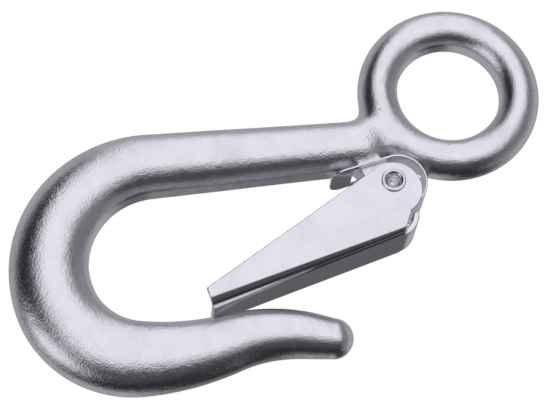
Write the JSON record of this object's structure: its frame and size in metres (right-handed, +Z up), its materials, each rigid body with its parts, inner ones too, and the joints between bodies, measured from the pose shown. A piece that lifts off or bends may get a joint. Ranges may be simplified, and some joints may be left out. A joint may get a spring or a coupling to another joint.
{
  "type": "eye hook with latch",
  "caption": "Forged lifting hook with a round fixed eye and a spring-loaded pressed-sheet latch that closes the throat onto the tip and swings inwards to open",
  "frame": {"origin": "middle of the eye, on the hook's plane of symmetry", "axes": "+Z up the line of load from the bowl to the eye, +X out through the throat, Y along the latch's hinge pin and the axis of the eye"},
  "size_m": [0.0638, 0.0147, 0.1201],
  "materials": {
    "forging": "bright zinc plate over a drop-forged surface",
    "sheet": "bright zinc plate on pressed sheet",
    "rivet": "bright zinc plate",
    "spring": "hardened strip, slit and bent, zinc plated"
  },
  "bodies": {
    "hook": {"hook_body": "forging", "latch_spring": "spring"},
    "latch": {"latch": "sheet", "rivet": "rivet"}
  },
  "joints": [
    {"name": "latch_hinge", "type": "hinge", "parent": "hook", "child": "latch", "pos_m": [0.012, 0, -0.0224], "axis": [0, 1, 0], "range_deg": [0, 32], "stiffness_Nm_per_rad": 0.15, "springref_deg": -40.11, "deforming": ["latch_spring"]}
  ]
}
